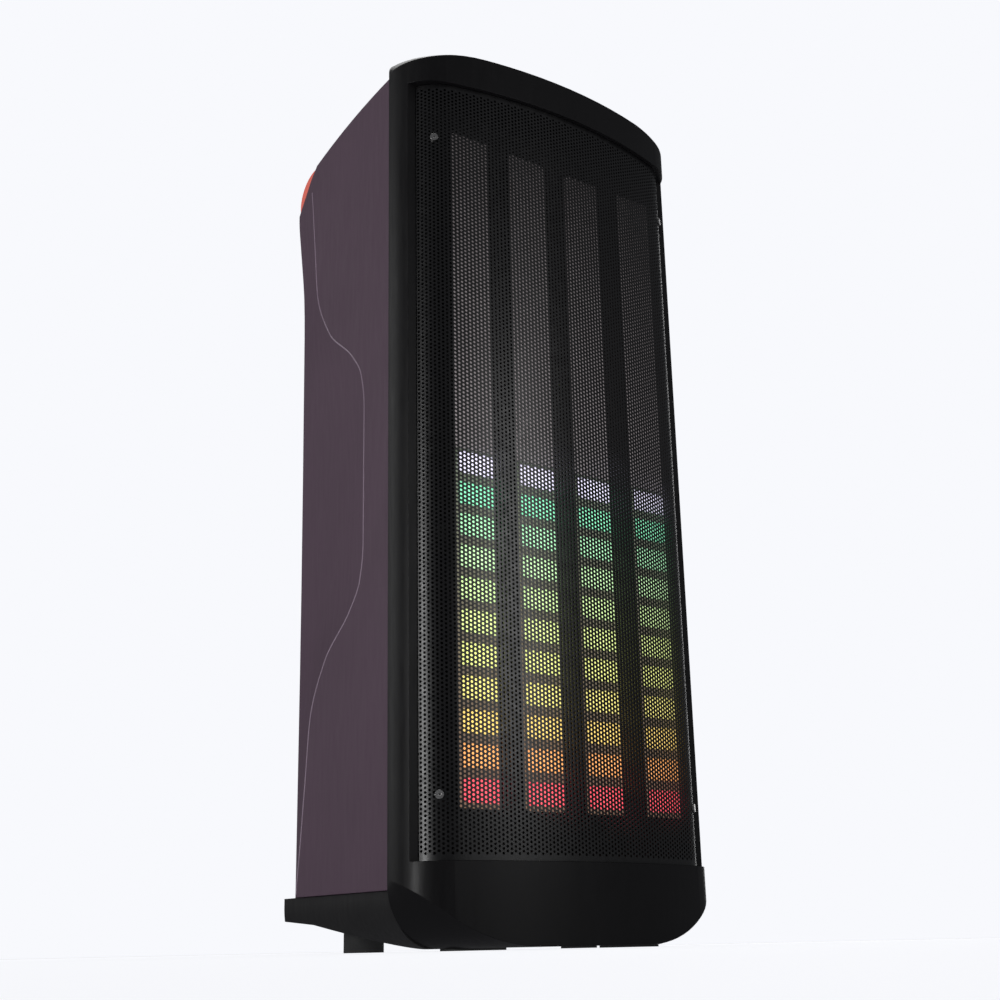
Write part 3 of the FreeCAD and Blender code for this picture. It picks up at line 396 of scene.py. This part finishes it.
MATERIALS = {
    "bezel_black": moulded("bezel_black", (0.0040, 0.0037, 0.0042), 0.36, edge_gain=2.6, specular=0.32),
    "grille_black": powder_coat("grille_black", (0.0030, 0.0028, 0.0032)),
    "screw_steel": metal("screw_steel", (0.62, 0.61, 0.60), 0.26),
    "frame_black": moulded("frame_black", (0.014, 0.014, 0.015), 0.55),
    "base_black": moulded("base_black", (0.010, 0.0095, 0.010), 0.50, edge_gain=2.2, specular=0.3),
    "plum_shell": moulded("plum_shell", (0.074, 0.044, 0.066), 0.52, grain=1500.0, spread=0.04,
                          edge_gain=1.45, round_edge=0.0014, specular=0.34),
    "coral_handle": handle_material("coral_handle"),
    "wood_board": board_material("wood_board", (0.36, 0.24, 0.13)),
    "baffle_black": board_material("baffle_black", (0.022, 0.021, 0.022), 250.0),
    "rubber_foot": rubber("rubber_foot", (0.02, 0.02, 0.02)),
    "surround_rubber": rubber("surround_rubber", (0.03, 0.029, 0.03), 0.7),
    "cone_paper": cone_material("cone_paper"),
    "coil_copper": metal("coil_copper", (0.72, 0.32, 0.15), 0.35, (1.0, 8.0, 1.0)),
    "spider_cloth": board_material("spider_cloth", (0.30, 0.20, 0.08), 900.0),
    "magnet_iron": metal("magnet_iron", (0.10, 0.10, 0.105), 0.5, metallic=0.6),
    "led_smoke": unlit_material("led_smoke", 0.05, 0.3),
    "circuit_green": circuit_material("circuit_green"),
    "heatsink_alu": metal("heatsink_alu", (0.58, 0.58, 0.59), 0.35, (1.0, 1.0, 0.05)),
    "battery_wrap": moulded("battery_wrap", (0.02, 0.08, 0.20), 0.35),
    "panel_gloss": gloss_panel("panel_gloss", (0.008, 0.008, 0.009)),
    "display_glass": gloss_panel("display_glass", (0.004, 0.005, 0.008)),
    "dial_metal": metal("dial_metal", (0.11, 0.11, 0.12), 0.3, (1.0, 1.0, 1.0), 900.0),
    "light_ring": glow_material("light_ring", (0.75, 0.83, 1.0), 0.9),
    "knob_plastic": moulded("knob_plastic", (0.018, 0.018, 0.020), 0.42, round_edge=0.0004),
    "key_plastic": moulded("key_plastic", (0.036, 0.036, 0.039), 0.5, round_edge=0.0004),
    "socket_black": moulded("socket_black", (0.012, 0.012, 0.012), 0.4, round_edge=0.0004),
}
for part in frame["record"]["subparts"]:
    cad_object = nodes[part["node"]]
    if not cad_object.material_slots:
        cad_object.data.materials.append(None)
    for slot in cad_object.material_slots:
        slot.material = MATERIALS[part["material_slot"]]


# ---------------------------------------------------------------- mesh helpers
def add_piece(name, verts, faces, material, body, slot_name, smooth_angle=40.0, face_slots=None):
    """A mesh piece in millimetre coordinates that rides on a body."""
    mesh = bpy.data.meshes.new(name)
    mesh.from_pydata([(x * MM, y * MM, z * MM) for x, y, z in verts], [], faces)
    for one in material if isinstance(material, (list, tuple)) else [material]:
        mesh.materials.append(one)
    if face_slots:
        mesh.polygons.foreach_set("material_index", face_slots)
    mesh.validate()
    mesh.shade_smooth()
    mesh.set_sharp_from_angle(angle=math.radians(smooth_angle))
    piece = bpy.data.objects.new(name, mesh)
    bpy.context.scene.collection.objects.link(piece)
    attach(piece, body)
    return piece


def thicken(points, faces, place):
    """Closed solid from a flat net of faces: front, back and a wall along each open edge."""
    count = len(points)
    verts = [place(u, v, 0.0) for u, v in points] + [place(u, v, 1.0) for u, v in points]
    solid = list(faces) + [tuple(count + i for i in reversed(face)) for face in faces]
    used = set()
    for face in faces:
        used.update(zip(face, face[1:] + face[:1]))
    for a, b in used:
        if (b, a) not in used:
            solid.append((b, a, count + a, count + b))
    return verts, solid


def revolved(profile, steps, place):
    """Closed ring from an (r, h) outline turned through a circle."""
    verts, faces = [], []
    n = len(profile)
    for i in range(steps):
        angle = 2 * math.pi * i / steps
        verts += [place(r * math.cos(angle), r * math.sin(angle), h) for r, h in profile]
        after = (i + 1) % steps
        for j in range(n):
            k = (j + 1) % n
            faces.append((i * n + j, i * n + k, after * n + k, after * n + j))
    return verts, faces


# ---------------------------------------------------------------- perforated grille
HOLE_PITCH = 3.4
HOLE_R = 1.14
GRILLE_COLUMNS = 98
GRILLE_ROWS = 190
STRIPS = ((0, 20), (20, 40), (40, 60), (60, 80), (80, 98))
LEAN = math.asin((GRILLE_HALF_W - GRILLE_CORNER_R) / (FRONT_ARC_R - GRILLE_CORNER_R))
ARC_LEN = FRONT_ARC_R * LEAN
CORNER_LEN = GRILLE_CORNER_R * (math.pi / 2 - LEAN)
CORNER_X = GRILLE_HALF_W - GRILLE_CORNER_R
CORNER_Y = GRILLE_FRONT_Y + FRONT_ARC_R - (FRONT_ARC_R - GRILLE_CORNER_R) * math.cos(LEAN)
HALF_RUN = ARC_LEN + CORNER_LEN + (GRILLE_BACK_Y - CORNER_Y)


def grille_plan(run):
    """(x, y) and outward normal of the grille's face at a distance along its plan from the middle."""
    side = -1.0 if run < 0 else 1.0
    run = abs(run)
    if run <= ARC_LEN:
        turn = run / FRONT_ARC_R
        x = FRONT_ARC_R * math.sin(turn)
        y = GRILLE_FRONT_Y + FRONT_ARC_R * (1 - math.cos(turn))
    elif run <= ARC_LEN + CORNER_LEN:
        turn = LEAN + (run - ARC_LEN) / GRILLE_CORNER_R
        x = CORNER_X + GRILLE_CORNER_R * math.sin(turn)
        y = CORNER_Y - GRILLE_CORNER_R * math.cos(turn)
    else:
        turn = math.pi / 2
        x, y = GRILLE_HALF_W, CORNER_Y + run - ARC_LEN - CORNER_LEN
    return side * x, y, side * math.sin(turn), -math.cos(turn)


def on_grille(run, z, depth):
    x, y, nx, ny = grille_plan(run)
    return x - nx * GRILLE_T * depth, y - ny * GRILLE_T * depth, z


def grille_net(first, last):
    """Points and faces of one strip of perforated sheet, from column first up to last."""
    points, faces, known = [], [], {}
    start = -GRILLE_COLUMNS * HOLE_PITCH / 2
    base = sum(WINDOW_Z) / 2 - GRILLE_ROWS * HOLE_PITCH / 2
    half = HOLE_PITCH / 2

    def corner(run, z):
        key = (round(run, 3), round(z, 3))
        if key not in known:
            known[key] = len(points)
            points.append((run, z))
        return known[key]

    def cell(left, low):
        right, middle, high = left + HOLE_PITCH, low + half, low + HOLE_PITCH
        bl, br, mr = corner(left, low), corner(right, low), corner(right, middle)
        tr, tl, ml = corner(right, high), corner(left, high), corner(left, middle)
        rim = []
        for k in range(8):
            angle = math.radians(22.5 + 45 * k)
            rim.append(len(points))
            points.append((left + half + HOLE_R * math.cos(angle), middle + HOLE_R * math.sin(angle)))
        faces.extend([(bl, br, rim[6], rim[5]), (br, mr, rim[7], rim[6]), (mr, rim[0], rim[7]),
                      (mr, tr, rim[1], rim[0]), (tr, tl, rim[2], rim[1]), (tl, ml, rim[3], rim[2]),
                      (ml, rim[4], rim[3]), (ml, bl, rim[5], rim[4])])

    def plain(left, right, low, high):
        faces.append((corner(left, low), corner(right, low), corner(right, high), corner(left, high)))

    top = base + GRILLE_ROWS * HOLE_PITCH
    for column in range(first, last):
        left = start + column * HOLE_PITCH
        right = left + HOLE_PITCH
        offset = half if column % 2 else 0.0
        for row in range(GRILLE_ROWS - (column % 2)):
            cell(left, base + offset + row * HOLE_PITCH)
        if column % 2:
            plain(left, right, base, base + half)
            plain(left, right, top - half, top)
        plain(left, right, WINDOW_Z[0], base)
        plain(left, right, top, WINDOW_Z[1])
    levels = [WINDOW_Z[0]] + [base + half * i for i in range(2 * GRILLE_ROWS + 1)] + [WINDOW_Z[1]]
    edge = -start
    for wanted, near, far in ((first == 0, -HALF_RUN, -edge), (last == GRILLE_COLUMNS, edge, HALF_RUN)):
        cuts = [near, (near + far) / 2, far] if wanted else []
        for left, right in zip(cuts, cuts[1:]):
            for low, high in zip(levels, levels[1:]):
                plain(left, right, low, high)
    return points, faces


for number, (first, last) in enumerate(STRIPS, 1):
    net_points, net_faces = grille_net(first, last)
    solid_verts, solid_faces = thicken(net_points, net_faces, on_grille)
    sheet_piece = add_piece("grille_sheet_%d" % number, solid_verts, solid_faces,
                            MATERIALS["grille_black"], "cabinet", "grille_black", 50.0)
    if number == 1:
        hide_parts("grille")


# ---------------------------------------------------------------- light bars
def rounded_outline(half_w, half_h, radius, steps=4):
    """Anticlockwise outline of a rounded rectangle about the origin."""
    out = []
    for index, (sx, sz) in enumerate(((1, 1), (-1, 1), (-1, -1), (1, -1))):
        for k in range(steps + 1):
            angle = math.radians(90 * index + 90 * k / steps)
            out.append((sx * (half_w - radius) + radius * math.cos(angle),
                        sz * (half_h - radius) + radius * math.sin(angle)))
    return out


def pillow(x, z, half_w, half_h, y_back, y_front, crown):
    """Crowned block with rounded corners: flat back, softened rim, domed face towards -Y."""
    reach = min(half_w, half_h)
    rings = ((0.0, y_back), (0.0, y_front + 0.55 + crown), (0.25, y_front + 0.2 + crown),
             (0.8, y_front + crown), (reach * 0.45, y_front + crown * 0.35), (reach * 0.8, y_front))
    verts, faces, n = [], [], 0
    for inset, y in rings:
        outline = rounded_outline(half_w - inset, half_h - inset, max(0.4, 2.2 - inset * 0.5))
        n = len(outline)
        verts += [(x + px, y, z + pz) for px, pz in outline]
    for level in range(len(rings) - 1):
        low, high = level * n, (level + 1) * n
        faces += [(low + i, low + (i + 1) % n, high + (i + 1) % n, high + i) for i in range(n)]
    faces.append(tuple(reversed(range(n))))
    last_ring = (len(rings) - 1) * n
    faces.append(tuple(last_ring + i for i in range(n)))
    return verts, faces


def join(verts, faces, more_verts, more_faces):
    """Adds one solid's points and faces to a growing mesh."""
    shift = len(verts)
    verts += more_verts
    faces += [tuple(shift + i for i in face) for face in more_faces]


LIT_TOP_Z = LED_TOP_Z - (SEG_COUNT - LIT_COUNT) * SEG_PITCH + 3.0
LIT_SLOT, UNLIT_SLOT, STRIP_SLOT = range(3)
LIT_MATERIAL = lit_material("led_lit", 1.15)
UNLIT_MATERIAL = unlit_material("led_unlit", 0.045, 0.25)
STRIP_MATERIAL = strip_material("led_strip", 0.22)
for number, bar_x in enumerate(LED_XS, 1):
    bottom_z = LED_TOP_Z - (SEG_COUNT - 1) * SEG_PITCH - SEG_H - LED_END
    verts, faces, face_slots = [], [], []
    for low, high, slot_index in ((bottom_z, LIT_TOP_Z, STRIP_SLOT),
                                  (LIT_TOP_Z, LED_TOP_Z + LED_END, UNLIT_SLOT)):
        block = pillow(bar_x, (low + high) / 2, LED_BAR_HALF, (high - low) / 2,
                       LED_BACK_Y, LED_FRONT_Y + 1.0, 0.0)
        join(verts, faces, *block)
        face_slots += [slot_index] * len(block[1])
    for segment in range(SEG_COUNT):
        seg_z = LED_TOP_Z - SEG_H / 2 - segment * SEG_PITCH
        block = pillow(bar_x, seg_z, LED_BAR_HALF - 1.0, SEG_H / 2,
                       LED_FRONT_Y + 1.4, LED_FRONT_Y, 0.3)
        join(verts, faces, *block)
        slot_index = LIT_SLOT if segment >= SEG_COUNT - LIT_COUNT else UNLIT_SLOT
        face_slots += [slot_index] * len(block[1])
    bar = add_piece("light_bar_%d" % number, verts, faces,
                    [LIT_MATERIAL, UNLIT_MATERIAL, STRIP_MATERIAL],
                    "cabinet", "led_smoke", 30.0, face_slots)
    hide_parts("led_diffuser_%d" % number)


# ---------------------------------------------------------------- trims
def about_y(x, z, y0):
    """Placer for shapes turned about a Y axis: heights run towards -Y."""
    return lambda u, v, h: (x + u, y0 - h, z + v)


def tube_profile(radius, tube, sides=10):
    return [(radius + tube * math.cos(2 * math.pi * k / sides), tube * math.sin(2 * math.pi * k / sides))
            for k in range(sides)]


CHROME = metal("bright_trim", (0.80, 0.80, 0.82), 0.16)
for level, cone_z in WOOFER_Z.items():
    ring = revolved(tube_profile(CONE_RING_R, CONE_RING_TUBE), 96, about_y(0.0, cone_z, CONE_RING_Y))
    add_piece("cone_ring_" + level, *ring, CHROME, "cone_" + level, "screw_steel", 60.0)

SHELL_HALF_W = 152.0
CREASE_MID_Z = 378.0
CREASE = ((-21.0, 0.0), (-21.0, 60.0), (-16.0, 90.0), (0.0, 113.0), (37.0, 146.0), (60.0, 192.0),
          (66.0, 240.0), (72.0, 290.0), (79.0, 345.0), (82.0, 400.0))   # (Y, height off CREASE_MID_Z)
WELT_START_Z = 46.0
WELT_STEP = 4.0
WELT_POINTS = 160


def crease_y(z):
    """Where the C-shaped crease of a side wall crosses a height."""
    knots = [(dz, y) for y, dz in CREASE]
    at = abs(z - CREASE_MID_Z)
    slopes = [(b[1] - a[1]) / (b[0] - a[0]) for a, b in zip(knots, knots[1:])]
    tangents = [slopes[0]] + [2 * a * b / (a + b) if a * b > 0 else 0.0
                              for a, b in zip(slopes, slopes[1:])] + [slopes[-1]]
    for (p0, v0), (p1, v1), m0, m1 in zip(knots, knots[1:], tangents, tangents[1:]):
        if at <= p1:
            span = p1 - p0
            t = (at - p0) / span
            return (v0 * (1 + 2 * t) * (1 - t) ** 2 + span * m0 * t * (1 - t) ** 2
                    + v1 * t * t * (3 - 2 * t) + span * m1 * t * t * (t - 1))


def crease_painted_highlight_bead(name, side, radius=0.75, sides=8):
    """Thin rounded welt laid along the crease, coloured lighter than the shell as a painted highlight of
    the crease edge.
    """
    heights = [WELT_START_Z + WELT_STEP * k for k in range(WELT_POINTS)]
    path = [(side * (SHELL_HALF_W - 0.25), crease_y(z), z) for z in heights]
    verts, faces = [], []
    for index, (x, y, z) in enumerate(path):
        before, after = path[max(0, index - 1)], path[min(len(path) - 1, index + 1)]
        along = Vector((0.0, after[1] - before[1], after[2] - before[2])).normalized()
        for k in range(sides):
            turn = 2 * math.pi * k / sides
            out, across = radius * math.cos(turn), radius * math.sin(turn)
            verts.append((x + out, y - along.z * across, z + along.y * across))
    for index in range(len(path) - 1):
        low, high = index * sides, (index + 1) * sides
        faces += [(low + k, low + (k + 1) % sides, high + (k + 1) % sides, high + k) for k in range(sides)]
    faces += [tuple(reversed(range(sides))), tuple(len(verts) - sides + k for k in range(sides))]
    add_piece(name, verts, faces, PAINTED_HIGHLIGHT_WELT, "cabinet", "plum_shell", 60.0)


# Painted highlight: a plum about three times lighter than the shell, standing in for the light caught by
# the crease edge.
PAINTED_HIGHLIGHT_WELT = moulded("plum_welt_painted_highlight", (0.24, 0.18, 0.23), 0.4, grain=1500.0, spread=0.05, specular=0.5)
crease_painted_highlight_bead("crease_welt_painted_highlight_left", -1)
crease_painted_highlight_bead("crease_welt_painted_highlight_right", 1)

DECK = Matrix.Translation(DECK_CENTRE) @ Matrix.Rotation(math.radians(-DECK_TILT), 4, "X")


def on_deck(u, v, h):
    return tuple(DECK @ Vector((u, v, h)))


class Marks:
    """Printed marks gathered into one thin mesh."""

    def __init__(self, place, low=0.0, high=0.12):
        self.place, self.low, self.high = place, low, high
        self.verts, self.faces = [], []

    def _prism(self, outline):
        n, base = len(outline), len(self.verts)
        for height in (self.low, self.high):
            self.verts += [self.place(u, v, height) for u, v in outline]
        self.faces.append(tuple(base + i for i in reversed(range(n))))
        self.faces.append(tuple(base + n + i for i in range(n)))
        self.faces += [(base + i, base + (i + 1) % n, base + n + (i + 1) % n, base + n + i)
                       for i in range(n)]

    def line(self, a, b, width):
        along = Vector((b[0] - a[0], b[1] - a[1]))
        across = Vector((-along.y, along.x)).normalized() * width / 2
        self._prism([(a[0] - across.x, a[1] - across.y), (b[0] - across.x, b[1] - across.y),
                     (b[0] + across.x, b[1] + across.y), (a[0] + across.x, a[1] + across.y)])

    def arc(self, centre, radius, start, end, width, steps=24):
        """Flat arc between two angles in degrees."""
        turns = [math.radians(start + (end - start) * k / steps) for k in range(steps + 1)]
        for a, b in zip(turns, turns[1:]):
            inner, outer = radius - width / 2, radius + width / 2
            self._prism([(centre[0] + r * math.cos(t), centre[1] + r * math.sin(t))
                         for r, t in ((inner, a), (outer, a), (outer, b), (inner, b))])

    def shape(self, *outline):
        self._prism(list(outline))

    def finish(self, name, material, body, slot_name):
        return add_piece(name, self.verts, self.faces, material, body, slot_name, 30.0)


PRINT_WHITE = print_material("print_white", (0.62, 0.62, 0.64))


def deck_marks():
    """Level ticks round the knobs and a plain sign under each key."""
    marks = Marks(on_deck)
    for x in KNOB_XS:
        for k in range(11):
            turn = math.radians(90 + 140 - 28 * k)
            inner, outer = 11.4, 13.6 if k in (0, 5, 10) else 12.8
            marks.line((x + inner * math.cos(turn), KNOB_Y + inner * math.sin(turn)),
                       (x + outer * math.cos(turn), KNOB_Y + outer * math.sin(turn)), 0.5)
    y = KEY_Y - 10.5
    x = KEY_XS["power"]
    marks.arc((x, y), 1.9, 125, 415, 0.5)
    marks.line((x, y + 0.4), (x, y + 2.6), 0.5)
    x = KEY_XS["source"]
    marks.line((x - 2.6, y), (x + 0.6, y), 0.5)
    marks.shape((x + 0.4, y - 1.2), (x + 1.9, y), (x + 0.4, y + 1.2))
    marks.line((x + 2.6, y - 2.0), (x + 2.6, y + 2.0), 0.5)
    x = KEY_XS["light"]
    marks.arc((x, y), 1.1, 0, 360, 0.5)
    for k in range(8):
        turn = math.radians(45 * k)
        marks.line((x + 1.9 * math.cos(turn), y + 1.9 * math.sin(turn)),
                   (x + 2.7 * math.cos(turn), y + 2.7 * math.sin(turn)), 0.45)
    x = KEY_XS["boost"]
    for k, height in enumerate((1.4, 2.6, 3.8)):
        marks.line((x - 1.6 + 1.6 * k, y - 1.9), (x - 1.6 + 1.6 * k, y - 1.9 + height), 0.8)
    x = KEY_XS["play"]
    marks.shape((x - 2.6, y - 1.8), (x + 0.1, y), (x - 2.6, y + 1.8))
    marks.line((x + 1.1, y - 1.8), (x + 1.1, y + 1.8), 0.6)
    marks.line((x + 2.4, y - 1.8), (x + 2.4, y + 1.8), 0.6)
    marks.line((-126 + 8, -33.0), (126 - 8, -33.0), 0.25)
    marks.finish("deck_marks", PRINT_WHITE, "cabinet", "panel_gloss")


SEGMENTS = {"a": ((0, 2), (1, 2)), "b": ((1, 2), (1, 1)), "c": ((1, 1), (1, 0)), "d": ((0, 0), (1, 0)),
            "e": ((0, 1), (0, 0)), "f": ((0, 2), (0, 1)), "g": ((0, 1), (1, 1))}
DIGITS = {"2": "abged", "4": "fgbc"}


def display_digits():
    """A plain two-digit level and a short bar in the display window."""
    digits = Marks(on_deck, 0.30, 0.40)
    width, height = 3.6, 3.4
    for index, digit in enumerate("24"):
        left, low = 44.0 + 6.2 * index, KEY_Y - height
        for name in DIGITS[digit]:
            (ax, ay), (bx, by) = SEGMENTS[name]
            a = Vector((left + width * ax, low + height * ay))
            b = Vector((left + width * bx, low + height * by))
            trim = (b - a).normalized() * 0.45
            digits.line(tuple(a + trim), tuple(b - trim), 0.75)
    for k in range(5):
        x, low = 58.0 + 1.5 * k, KEY_Y - 3.2
        digits.line((x, low), (x, low + 1.4 * (k + 1) * 0.9), 0.8)
    glow = glow_material("digit_glow", (0.55, 0.85, 1.0), 1.6)
    digits.finish("display_digits", glow, "cabinet", "light_ring")


def knob_pointers():
    """Painted fill of each level knob's groove."""
    for name, x in zip(("mic_volume", "echo", "bass", "treble"), KNOB_XS):
        pointer = Marks(on_deck, 10.45, 10.75)
        pointer.line((x, KNOB_Y + 2.3), (x, KNOB_Y + 7.6), 0.9)
        pointer.finish("pointer_" + name, PRINT_WHITE, "knob_" + name, "knob_plastic")


deck_marks()
display_digits()
knob_pointers()


def on_back(offset):
    """Placer for marks on a rear face: u runs to the viewer's right when seen from behind."""
    return lambda u, v, h: (u, offset + h, v)


def rear_marks():
    """Plain rings and signs beside the sockets."""
    marks = Marks(on_back(JACK_FACE_Y))
    for x in MIC_JACK_XS:
        marks.arc((x, JACK_Z), 11.0, 20, 160, 0.5)
        marks.arc((x, JACK_Z + 14.6), 1.2, 0, 360, 0.5, 12)
        marks.line((x, JACK_Z + 10.4), (x, JACK_Z + 13.0), 0.6)
    marks.arc((LINE_JACK_X, JACK_Z), 6.2, 20, 160, 0.5)
    marks.line((-45.5, 553.5), (-30.5, 553.5), 0.5)
    marks.line((-92.0, 530.0), (-28.0, 530.0), 0.3)
    marks.finish("rear_marks", PRINT_WHITE, "cabinet", "socket_black")


rear_marks()


# ---------------------------------------------------------------- studio
FLOOR_GLOW = 0.80
BACKDROP = (0.939, 0.947, 0.982)
ROOM_COLOUR = (0.93, 0.95, 1.0)
ROOM_STRENGTH = 0.10
LAMP_AIM = (0.0, 0.0, 0.38)
CAMERA_LENS = 51.887
CAMERA_PLACE = (-0.7518, -0.9859, 0.0013)
CAMERA_TURN = (107.2743, 1.1933, -37.1576)   # degrees about X, Y and Z


def studio():
    scene = bpy.context.scene
    scene.view_settings.view_transform = "Standard"
    world = bpy.data.worlds.new("studio")
    scene.world = world
    world.use_nodes = True
    tree = world.node_tree
    tree.nodes.clear()
    output = tree.nodes.new("ShaderNodeOutputWorld")
    mix = tree.nodes.new("ShaderNodeMixShader")
    path = tree.nodes.new("ShaderNodeLightPath")
    room, backdrop = (tree.nodes.new("ShaderNodeBackground") for _ in range(2))
    room.inputs["Color"].default_value = (*ROOM_COLOUR, 1.0)
    room.inputs["Strength"].default_value = ROOM_STRENGTH
    backdrop.inputs["Color"].default_value = (*BACKDROP, 1.0)
    tree.links.new(path.outputs["Is Camera Ray"], mix.inputs[0])
    tree.links.new(room.outputs[0], mix.inputs[1])
    tree.links.new(backdrop.outputs[0], mix.inputs[2])
    tree.links.new(mix.outputs[0], output.inputs[0])

    aim = Vector(LAMP_AIM)
    softboxes = (   # name, place, width, height, power
        ("top", (0.0, 0.5, 2.6), 2.0, 2.0, 24.0),
        ("left_rear", (-1.6, 1.4, 0.9), 1.2, 1.6, 5.0),
        ("left_side", (-2.3, -0.55, 0.5), 0.5, 0.9, 11.0),
        ("front_right", (0.75, -2.4, 0.85), 0.6, 0.9, 5.0),
        ("right_rear", (1.7, 1.3, 0.9), 1.2, 1.6, 10.0),
    )
    for name, place, width, height, power in softboxes:
        light = bpy.data.lights.new(name, "AREA")
        light.shape = "RECTANGLE"
        light.size, light.size_y = width, height
        light.energy = power
        lamp = bpy.data.objects.new(name, light)
        lamp.location = place
        lamp.rotation_euler = (aim - Vector(place)).to_track_quat("-Z", "Y").to_euler()
        scene.collection.objects.link(lamp)

    bpy.ops.mesh.primitive_plane_add(size=12.0)
    floor = bpy.context.object
    floor.name = "floor"
    g = Graph("floor_paper")
    cloud = g.span(g.noise(1.2, 2.0), 0.3, 0.7, 0.0, 1.0)
    g.constant(emission_color=BACKDROP, emission_strength=FLOOR_GLOW)
    floor.data.materials.append(g.surface(g.mix(cloud, (0.34, 0.342, 0.35), (0.36, 0.362, 0.37)), 0.9))
    floor.visible_glossy = False

    lens = bpy.data.cameras.new("camera")
    lens.lens = CAMERA_LENS
    lens.sensor_width = 36.0
    lens.clip_start = 0.001
    camera = bpy.data.objects.new("camera", lens)
    camera.location = CAMERA_PLACE
    camera.rotation_euler = [math.radians(angle) for angle in CAMERA_TURN]
    scene.collection.objects.link(camera)
    scene.camera = camera


studio()
